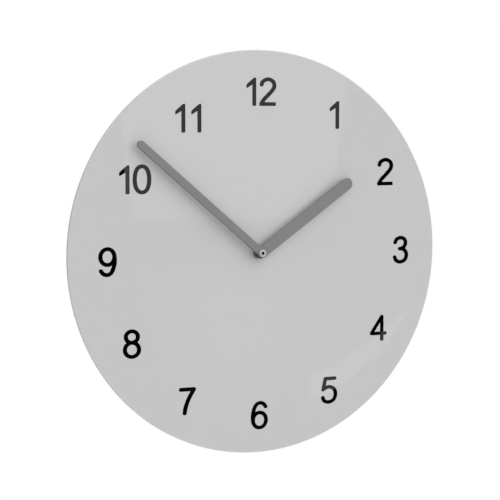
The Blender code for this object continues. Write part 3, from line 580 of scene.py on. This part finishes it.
def make_hub():
    """The hour hand's moulded hub: a collar below the blade and a small flange above it."""
    bore, socket, neck, head, collar, skirt = 1.55, 2.55, 2.3, 2.8, 4.3, 4.2  # radii
    front, above_blade, below_blade, tube_top, step, foot = 26.1, 25.85, 24.75, 24.0, 23.3, 21.2
    profile = [
        (bore, front), (head - 0.15, front), (head - 0.05, front - 0.03), (head, front - 0.1),
        (head, above_blade), (neck, above_blade), (neck, below_blade),
        (collar - 0.2, below_blade), (collar - 0.06, below_blade - 0.06), (collar, below_blade - 0.2),
        (collar, step), (skirt, step - 0.1), (skirt, foot + 0.15), (skirt - 0.1, foot),
        (socket, foot), (socket, tube_top), (bore, tube_top),
    ]
    hub = turned("hour_hand_hub", profile, [hub_plastic], sides=96)
    stand_for(hub, "hour_hand_hub", "hour_hand")


def make_nut():
    """An open ring nut with rounded rims and fine grooves down its side."""
    hole, bore, rim = 1.2, 1.45, 2.75  # radii
    front, back_face = 29.0, 27.9
    outline = [
        (hole, front - 0.1), (hole + 0.04, front - 0.03), (hole + 0.12, front), (rim - 0.35, front),
        (rim - 0.17, front - 0.04), (rim - 0.05, front - 0.14), (rim, front - 0.3),
        (rim, back_face + 0.2), (rim - 0.11, back_face + 0.05), (rim - 0.25, back_face),
        (bore, back_face), (bore, front - 0.3), (hole, front - 0.3),
    ]
    sides, groove = 144, 0.08
    rings = []
    for radius, height in outline:
        grooved = radius > rim - 0.09
        rings.append([
            (x * (1 - groove / radius), y * (1 - groove / radius), height) if grooved and k % 4 == 0
            else (x, y, height)
            for k, (x, y) in enumerate(circle(radius, sides))
        ])
    nut = lofted("minute_hand_nut", rings, [nut_metal])
    stand_for(nut, "minute_hand_nut", "minute_hand")


# The movement behind the dial.
SETTING = (-14.533, -3.959)  # the setting knob's axis, as (x, y)
COVER_SCREWS = ((-24.2, 24.2), (24.2, 24.2), (-24.2, -8.6), (24.2, -8.6))
HANGER_SCREWS = {"left": (-9.3, 34.0), "right": (9.3, 34.0)}
HEAD_FRONT = 0.85  # where a screw's head ends and its thread starts
CELL = (-19.5, 8.1)  # the battery's axis, as (y, z)
COIL = (22.0, 4.9)  # the coil's axis, as (x, z)


def rounded_box_corners(left, right, bottom, top, corner, inset=0.0):
    """A rectangle's (x, y, rounding) corners, anticlockwise from the lower left."""
    reach = max(corner - inset, 0.05)
    return [
        (left + inset, bottom + inset, reach), (right - inset, bottom + inset, reach),
        (right - inset, top - inset, reach), (left + inset, top - inset, reach),
    ]


def rounded_plate(name, sides, corner, low, high, radius, material):
    """A plate with round corners whose front and back edges are rounded too."""
    rings = []
    for inset, height in rounded_edge(low, high, radius):
        outline = rounded_outline(rounded_box_corners(*sides, corner, inset), steps=8)
        rings.append([(x, y, height) for x, y in outline])
    plate = lofted(name, rings, [material], closed=False)
    close_ends(plate, len(rings[0]))
    return plate


def close_ends(piece, sides):
    """Puts a flat face over the first and the last ring of an open loft."""
    bm = bmesh.new()
    bm.from_mesh(piece.data)
    bmesh.ops.holes_fill(bm, edges=[e for e in bm.edges if e.is_boundary], sides=sides)
    bmesh.ops.recalc_face_normals(bm, faces=bm.faces)
    for face in bm.faces:
        if len(face.verts) == sides:
            face.smooth = False
    bm.to_mesh(piece.data)
    bm.free()


def cut(piece, outline, low, high):
    """Cuts an outline out of a piece between two heights above the wall."""
    combine(piece, flat_shape("cutter", [outline], low, high, case_plastic), "DIFFERENCE")


def cut_box(piece, left, right, bottom, top, corner, low, high):
    """Cuts a rectangle with round corners out of a piece."""
    cut(piece, rounded_outline(rounded_box_corners(left, right, bottom, top, corner)), low, high)


def band(centre, radius, width, start, end):
    """The outline of part of a flat ring; angles in degrees."""
    outer = arc(centre, (radius + width / 2,) * 2, start, end)
    inner = arc(centre, (radius - width / 2,) * 2, end, start)
    return outer + inner


def make_rear_cover():
    """The cover against the wall, with a battery window, a knob hole and shallow marks."""
    sides = (-CASE_HALF, CASE_HALF, -CASE_HALF, CASE_HALF)
    cover = rounded_plate("rear_cover", sides, 3.0, 0.0, COVER_THICKNESS, 0.4, case_plastic)
    outside, mark = -1.0, 0.3  # marks are cut from outside to this depth
    cut_box(cover, -26.5, 26.5, -26.9, -12.0, 1.0, *THROUGH)  # battery window
    cut_box(cover, -25.4, 25.4, -12.4, -11.4, 0.3, outside, 0.5)  # step along it
    cut(cover, circle(6.6, 64, SETTING), *THROUGH)
    cut(cover, circle(7.3, 64, SETTING), outside, 0.35)
    for centre in COVER_SCREWS:
        cut(cover, circle(1.8, 32, centre), outside, 0.9)
        cut(cover, circle(0.8, 24, centre), 0.5, 3)
    cut_box(cover, -5.0, 20.0, 6.0, 21.0, 1.5, outside, 0.25)  # label panel
    arrow_radius = 8.6
    for start, end in ((20, 120), (200, 300)):
        cut(cover, band(SETTING, arrow_radius, 0.5, start, end), outside, mark)
        a = math.radians(end + 5)
        middle = Vector(SETTING)
        tip = middle + arrow_radius * Vector((math.cos(a + 0.12), math.sin(a + 0.12)))
        root = middle + arrow_radius * Vector((math.cos(a - 0.1), math.sin(a - 0.1)))
        side = Vector((math.cos(a), math.sin(a)))
        cut(cover, [tuple(tip), tuple(root + side), tuple(root - side)], outside, mark)
    for row in range(5):  # vents
        y = 12.0 + row * 2.4
        cut_box(cover, -21.0, -9.0, y, y + 1.2, 0.55, outside, 0.5)
    for x in (-22.0, 22.0):  # latch slots
        cut_box(cover, x - 1.2, x + 1.2, -27.75, -27.35, 0.15, outside, mark)
    # Plus and minus marks beside the battery
    cut_box(cover, 23.9, 24.3, -6.0, -3.6, 0.15, outside, mark)
    cut_box(cover, 22.9, 25.3, -5.0, -4.6, 0.15, outside, mark)
    cut_box(cover, -25.3, -22.9, -5.0, -4.6, 0.15, outside, mark)
    smooth_edges(cover)
    stand_for(cover, "rear_cover", "case")


def make_case_ribs():
    """Moulded grip ribs on the four sides of the case."""
    points, faces = [], []
    shape = [(-0.5, -0.1), (-0.35, 0.25), (0.0, 0.4), (0.35, 0.25), (0.5, -0.1)]
    count = len(shape)
    for turn in range(4):
        c, s = round(math.cos(turn * math.pi / 2)), round(math.sin(turn * math.pi / 2))
        for k in range(-10, 11):
            if turn == 1 and abs(k) < 7:  # the hanger's tab is there
                continue
            for height in (3.2, 15.6):
                for a, b in shape:
                    x, y = CASE_HALF + b, 2.0 * k + a
                    points.append((x * c - y * s, x * s + y * c, height))
            first = len(points) - 2 * count
            for n in range(count):
                after = (n + 1) % count
                faces.append(((first + n, first + after, first + count + after, first + count + n), 0))
            faces.append((tuple(range(first, first + count)), 0))
            faces.append((tuple(range(first + count, first + 2 * count)), 0))
    ribs = new_mesh("case_ribs", points, faces, [case_plastic])
    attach(ribs, "case")


def make_knob():
    """The setting knob: a ridged rim, and a bar between two finger wells."""
    outline = [
        (0.0, 0.4), (5.2, 0.4), (5.55, 0.5), (5.8, 0.8), (5.8, 2.6), (5.6, 2.9), (5.3, 3.0), (0.0, 3.0),
    ]
    sides, groove, ridges = 240, 0.35, 40
    face_radius = 5.5  # inside it the knob is plain
    rings = []
    for radius, height in outline:
        ring_points = []
        for k, (x, y) in enumerate(circle(radius, sides)):
            ridge = 0.5 - 0.5 * math.cos(2 * math.pi * k * ridges / sides)
            share = 1 - groove * ridge / radius if radius > face_radius else 1.0
            ring_points.append((SETTING[0] + x * share, SETTING[1] + y * share, height))
        rings.append(ring_points)
    knob = lofted("set_knob", rings, [knob_plastic], closed=False)
    for sign in (-1, 1):
        well = [(SETTING[0] + sign * (0.6 + x), SETTING[1] + y) for x, y in
                [(0, -4.2), (1.8, -3.9), (3.3, -2.9), (4.2, -1.5), (4.5, 0), (4.2, 1.5), (3.3, 2.9),
                 (1.8, 3.9), (0, 4.2)]]
        cut(knob, well if sign > 0 else well[::-1], -1, 0.8)
    smooth_edges(knob)
    stand_for(knob, "set_knob", "set_knob")


def make_screw(name, centre, head_front, end):
    """A domed screw with a cross recess and a thread."""
    head, root, thread, pitch = 1.7, 0.56, 0.75, 0.3
    profile = [(0.0, 0.1), (0.8, 0.12), (1.25, 0.2), (1.55, 0.36), (head, 0.6), (head, head_front)]
    height = head_front
    while height < end - 1.2:
        profile += [(root, height + 0.02), (thread, height + pitch / 2)]
        height += pitch
    profile += [(root, end - 0.9), (0.0, end)]
    screw = turned(name, profile, [steel_metal], centre, sides=32, closed=False)
    x, y = centre
    for wide, high in ((1.0, 0.22), (0.22, 1.0)):  # the two bars of the recess
        cut_box(screw, x - wide, x + wide, y - high, y + high, 0.15, -1, 0.6)
    smooth_edges(screw)
    stand_for(screw, name, "case")


def make_hanger_plate():
    """The steel plate with the keyhole that hangs the clock."""
    plate = rounded_plate("hanger_plate", (-11.5, 11.5, 28.4, 39.6), 2.0, 0.9, 2.0, 0.2, steel_metal)
    slot, mouth = 2.2, 4.5  # radii
    meet = math.degrees(math.asin(slot / mouth))  # where the slot's sides meet the round mouth
    keyhole = arc((0, 36.4), (slot, slot), 0, 180)
    keyhole += arc((0, 32.3), (mouth, mouth), 90 + meet, 450 - meet, 48)
    cut(plate, keyhole, *THROUGH)
    for centre in HANGER_SCREWS.values():
        cut(plate, circle(0.8, 24, centre), *THROUGH)
    smooth_edges(plate)
    stand_for(plate, "hanger_plate", "case")


def make_bush():
    """The threaded bush that the hand tubes pass through."""
    bore, thread, root, flange = 2.7, 4.0, 3.72, 5.2  # radii
    front, flange_front, flange_back = 20.95, 15.75, 14.4
    threads, pitch = 9, 0.5
    profile = [(bore, front), (thread - 0.3, front), (thread - 0.05, front - 0.2)]
    for number in range(threads):
        crest = front - 0.25 - number * pitch
        profile += [(thread, crest), (root, crest - pitch / 2)]
    profile += [(thread, flange_front), (flange, flange_front), (flange, flange_back), (bore, flange_back)]
    bush = turned("threaded_bush", profile, [brass_metal], sides=48)
    stand_for(bush, "threaded_bush", "case")


def make_coil():
    """Fine copper wire wound on the motor's bobbin."""
    turns, low, high = 60, 1.35, 17.65
    core, groove, crest = 1.6, 2.36, 2.5  # radii
    profile = [(core, high), (core, low)]
    for k in range(turns):
        height = low + (high - low) * (k + 0.5) / turns
        profile += [(groove, height - 0.12), (crest, height)]
    profile.append((groove, high))
    coil = turned("coil_winding", profile, [copper_wire], COIL, sides=48, along="y")
    stand_for(coil, "coil_winding", "case")


def make_board_back():
    """Printed tracks and solder joints on the back of the circuit board."""
    joints = [(-19.4, 25.0), (-14.6, 22.8), (-9.4, 22.8), (-4.2, 24.6), (1.2, 24.6), (-4.2, 21.0),
              (1.2, 21.0), (6.8, 25.0), (5.4, 20.6)]
    runs = [(0, 1), (1, 5), (2, 3), (4, 7), (6, 8)]
    shapes = []
    for first, last in runs:
        line = [joints[first], (joints[last][0], joints[first][1]), joints[last]]
        if joints[first][1] == joints[last][1]:
            line = [joints[first], joints[last]]
        shapes.append(flat_shape("track", pen_stroke(line, False, 0.2), 2.16, 2.195, board_copper))
    tracks = shapes[0]
    for shape in shapes[1:]:
        combine(tracks, shape, "UNION")
    tracks.name = "board_tracks"
    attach(tracks, "case")
    points, faces = [], []
    sides = 16
    for centre in joints:
        first = len(points)
        for radius, height in ((0.62, 2.15), (0.5, 2.07), (0.25, 2.01)):
            points += [(x, y, height) for x, y in circle(radius, sides, centre)]
        for row in range(2):
            for k in range(sides):
                after = (k + 1) % sides
                low, high = first + row * sides, first + (row + 1) * sides
                faces.append(((low + k, low + after, high + after, high + k), 0))
        faces.append((tuple(range(first, first + sides)), 0))
        faces.append((tuple(range(first + 2 * sides, first + 3 * sides)), 0))
    solder = new_mesh("solder_joints", points, faces, [steel_metal])
    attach(solder, "case")


def make_cell():
    """The AA cell: a sleeved can with a pale band, a positive cap and a negative disc."""
    can = [(0.0, 24.5), (4.6, 24.5), (4.7, 24.8), (6.3, 24.8), (6.75, 24.72), (7.0, 24.5), (7.1, 24.1),
           (7.1, 15.2), (7.1, 14.9), (7.1, -23.4), (7.0, -23.8), (6.75, -24.03), (6.5, -24.1), (5.6, -24.1),
           (5.6, -23.8), (0.0, -23.8)]
    band_rows = 7
    marks = [0] * band_rows + [1] * (len(can) - band_rows)
    sleeve = turned("battery_can", can, [cell_band, cell_sleeve], CELL, 96, closed=False, marks=marks,
                    along="x")
    stand_for(sleeve, "battery_can", "battery")
    cap = [(0.0, 26.2), (2.3, 26.2), (2.6, 26.12), (2.75, 25.95), (2.8, 25.1), (3.0, 24.9), (4.4, 24.9),
           (4.5, 24.8), (4.5, 24.55), (0.0, 24.55)]
    tip = turned("battery_positive_cap", cap, [steel_metal], CELL, 64, closed=False, along="x")
    stand_for(tip, "battery_positive_cap", "battery")
    disc = [(0.0, -23.85), (5.5, -23.85), (5.5, -24.15), (5.35, -24.28), (5.2, -24.3), (3.2, -24.3),
            (3.0, -24.22), (0.0, -24.22)]
    base = turned("battery_negative_disc", disc, [steel_metal], CELL, 64, closed=False, along="x")
    stand_for(base, "battery_negative_disc", "battery")


def make_spring():
    """A cone of wire that presses the cell on its positive contact."""
    turns, per_turn, wire, wire_sides = 3, 36, 0.25, 10
    wide, narrow = 4.9, 2.0
    start, end = -26.0, -24.6
    path = []
    for k in range(turns * per_turn + 1):
        share = k / (turns * per_turn)
        angle = 2 * math.pi * turns * share
        radius = wide + (narrow - wide) * share
        path.append(Vector((start + (end - start) * share, CELL[0] + radius * math.cos(angle),
                            CELL[1] + radius * math.sin(angle))))
    rings = []
    for k, spot in enumerate(path):
        along = (path[min(k + 1, len(path) - 1)] - path[max(k - 1, 0)]).normalized()
        out = along.cross(Vector((1, 0, 0))).normalized()
        rise = out.cross(along)
        rings.append([tuple(spot + (out * a + rise * b)) for a, b in circle(wire, wire_sides)])
    spring = lofted("battery_spring", rings, [steel_metal], closed=False)
    close_ends(spring, wire_sides)
    stand_for(spring, "battery_spring", "case")


make_dial()
for hour in range(1, 13):
    make_numeral(hour)
make_rear_cover()
make_case_ribs()
make_knob()
for number, centre in enumerate(COVER_SCREWS, 1):
    make_screw(f"cover_screw_{number}", centre, HEAD_FRONT, 7.8)
for side, centre in HANGER_SCREWS.items():
    make_screw(f"hanger_screw_{side}", centre, HEAD_FRONT, 6.0)
make_hanger_plate()
make_bush()
make_coil()
make_board_back()
make_cell()
make_spring()
make_hand("minute_hand_blade", MINUTE_ANGLE, MINUTE_WIDTH / 2, MINUTE_TIP, MINUTE_WIDTH, MINUTE_SPAN,
          MINUTE_HOLE, "minute_hand", minute_wall_painted_shade)
make_hand("hour_hand_blade", HOUR_ANGLE, HOUR_HEEL, HOUR_TIP, HOUR_WIDTH, HOUR_SPAN,
          HOUR_HOLE, "hour_hand", hour_wall_painted_shade)
make_hub()
make_nut()


# The stage, in metres: a pale floor below the clock, soft light, and softboxes that only gloss shows.
FLOOR_HEIGHT = -0.3
FLOOR_SIDE = 1.6
FLOOR_FRONT = -1.7
FLOOR_BACK = 0.36
AZIMUTH = math.radians(-25.37)  # of the camera, from straight in front towards its left
ELEVATION = math.radians(4.44)
DISTANCE = 1.404
LENS = 135.94
SHIFT = (-0.01694, 0.00514)
KEY_DIRECTION = (0.6, -0.5, 0.62)  # where the dome is brightest
DOME_LOW = 0.438
DOME_HIGH = 1.89
ROOM = 0.55  # what gloss sees away from the dial's mirror line
CARD_GLOW = 0.62
STRIP_GLOW = 0.85
FAINT_GLOW = 0.28

aim = world((0, 0, DIAL_FRONT))
back = Vector((
    math.sin(AZIMUTH) * math.cos(ELEVATION),
    -math.cos(AZIMUTH) * math.cos(ELEVATION),
    math.sin(ELEVATION),
))
mirrored = Vector((-back.x, back.y, -back.z))  # the direction in which the dial mirrors the camera


def make_floor():
    mesh = bpy.data.meshes.new("floor")
    corners = [
        (x, y, FLOOR_HEIGHT)
        for x, y in ((-FLOOR_SIDE, FLOOR_FRONT), (FLOOR_SIDE, FLOOR_FRONT),
                     (FLOOR_SIDE, FLOOR_BACK), (-FLOOR_SIDE, FLOOR_BACK))
    ]
    mesh.from_pydata(corners, [], [(0, 1, 2, 3)])
    mesh.materials.append(node_material("pale_floor", (0.8, 0.8, 0.8), 0.6, vary=0.01, scale=6.0))
    floor = bpy.data.objects.new("floor", mesh)
    floor.visible_glossy = False
    bpy.context.scene.collection.objects.link(floor)


def make_camera():
    data = bpy.data.cameras.new("camera")
    data.lens = LENS
    data.sensor_width = 36.0
    data.shift_x, data.shift_y = SHIFT
    data.clip_start = 0.05
    camera = bpy.data.objects.new("camera", data)
    camera.location = aim + back * DISTANCE
    camera.rotation_mode = "QUATERNION"
    camera.rotation_quaternion = (-back).to_track_quat("-Z", "Y")
    bpy.context.scene.collection.objects.link(camera)
    bpy.context.scene.camera = camera


def make_softbox(name, corners, strength, distance=1.5, middle=(0.0, 0.0), fade=None):
    """A bright card that only glossy rays see, across the line that the dial mirrors.

    Corners are in metres from the middle. With fade, its light falls off between two distances.
    """
    side = mirrored.cross(Vector((0, 0, 1))).normalized()
    up = side.cross(mirrored)
    mesh = bpy.data.meshes.new(name)
    mesh.from_pydata([side * x + up * y for x, y in corners], [], [tuple(range(len(corners)))])
    material = bpy.data.materials.new(name)
    material.use_nodes = True
    tree = material.node_tree
    tree.nodes.clear()
    glow = tree.nodes.new("ShaderNodeEmission")
    glow.inputs["Strength"].default_value = strength
    if fade:
        where = tree.nodes.new("ShaderNodeTexCoord")
        length = tree.nodes.new("ShaderNodeVectorMath")
        length.operation = "LENGTH"
        tree.links.new(where.outputs["Object"], length.inputs[0])
        fall = tree.nodes.new("ShaderNodeMapRange")
        fall.interpolation_type = "SMOOTHSTEP"
        fall.inputs["From Min"].default_value = fade[0]
        fall.inputs["From Max"].default_value = fade[1]
        fall.inputs["To Min"].default_value = strength
        fall.inputs["To Max"].default_value = 0.0
        tree.links.new(length.outputs["Value"], fall.inputs["Value"])
        tree.links.new(fall.outputs["Result"], glow.inputs["Strength"])
    out = tree.nodes.new("ShaderNodeOutputMaterial")
    tree.links.new(glow.outputs["Emission"], out.inputs["Surface"])
    mesh.materials.append(material)
    card = bpy.data.objects.new(name, mesh)
    card.location = aim + mirrored * distance + side * middle[0] + up * middle[1]
    card.visible_camera = False
    card.visible_diffuse = False
    card.visible_shadow = False
    card.visible_transmission = False
    bpy.context.scene.collection.objects.link(card)


def make_world():
    """Camera rays see white, gloss sees a dim room, and other rays see a soft dome.

    The dome is brighter at the clock's upper right.
    """
    studio = bpy.data.worlds.new("studio")
    studio.use_nodes = True
    tree = studio.node_tree
    tree.nodes.clear()
    where = tree.nodes.new("ShaderNodeTexCoord")

    def glow(direction, start, full, low, high):
        """A background whose strength runs from low to high as rays turn to a direction."""
        dot = tree.nodes.new("ShaderNodeVectorMath")
        dot.operation = "DOT_PRODUCT"
        dot.inputs[1].default_value = Vector(direction).normalized()
        tree.links.new(where.outputs["Generated"], dot.inputs[0])
        fade = tree.nodes.new("ShaderNodeMapRange")
        fade.interpolation_type = "SMOOTHSTEP"
        fade.inputs["From Min"].default_value = math.cos(math.radians(start))
        fade.inputs["From Max"].default_value = math.cos(math.radians(full))
        fade.inputs["To Min"].default_value = low
        fade.inputs["To Max"].default_value = high
        tree.links.new(dot.outputs["Value"], fade.inputs["Value"])
        background = tree.nodes.new("ShaderNodeBackground")
        background.inputs["Color"].default_value = (1, 1, 1, 1)
        tree.links.new(fade.outputs["Result"], background.inputs["Strength"])
        return background

    def choose(ray, otherwise, when):
        """One background for a kind of ray, and another for the rest."""
        mix = tree.nodes.new("ShaderNodeMixShader")
        tree.links.new(path.outputs[ray], mix.inputs[0])
        tree.links.new(otherwise.outputs[0], mix.inputs[1])
        tree.links.new(when.outputs[0], mix.inputs[2])
        return mix

    path = tree.nodes.new("ShaderNodeLightPath")
    white = tree.nodes.new("ShaderNodeBackground")
    white.inputs["Color"].default_value = (1, 1, 1, 1)
    soft = glow(KEY_DIRECTION, 75, 20, DOME_LOW, DOME_HIGH)
    gloss = glow(mirrored, 50, 25, ROOM, 0.0)
    seen = choose("Is Camera Ray", choose("Is Glossy Ray", soft, gloss), white)
    out = tree.nodes.new("ShaderNodeOutputWorld")
    tree.links.new(seen.outputs[0], out.inputs["Surface"])
    bpy.context.scene.world = studio


make_floor()
make_camera()
make_world()
make_softbox("softbox_above", [(0.208, 0.47), (0.1937, 0.0501), (-0.0562, 0.0501), (-0.12, 0.127),
                               (-0.16, 0.47)], CARD_GLOW)
make_softbox("softbox_strip", [(0.2085, 0.2116), (0.2045, 0.084), (0.1945, 0.084), (0.1961, 0.2116)],
             STRIP_GLOW, distance=1.49)
make_softbox("softbox_below", [(-0.243, -0.07), (-0.21, -0.104), (-0.1715, -0.1375), (-0.138, -0.156),
                               (-0.11, -0.1745), (-0.078, -0.187), (-0.078, -0.23), (-0.133, -0.202),
                               (-0.187, -0.153), (-0.2177, -0.11)], CARD_GLOW)
make_softbox("softbox_faint", circle(0.16, 32), FAINT_GLOW, distance=1.52, middle=(0.0284, -0.1037),
             fade=(0.03, 0.15))
bpy.context.scene.view_settings.view_transform = "Standard"
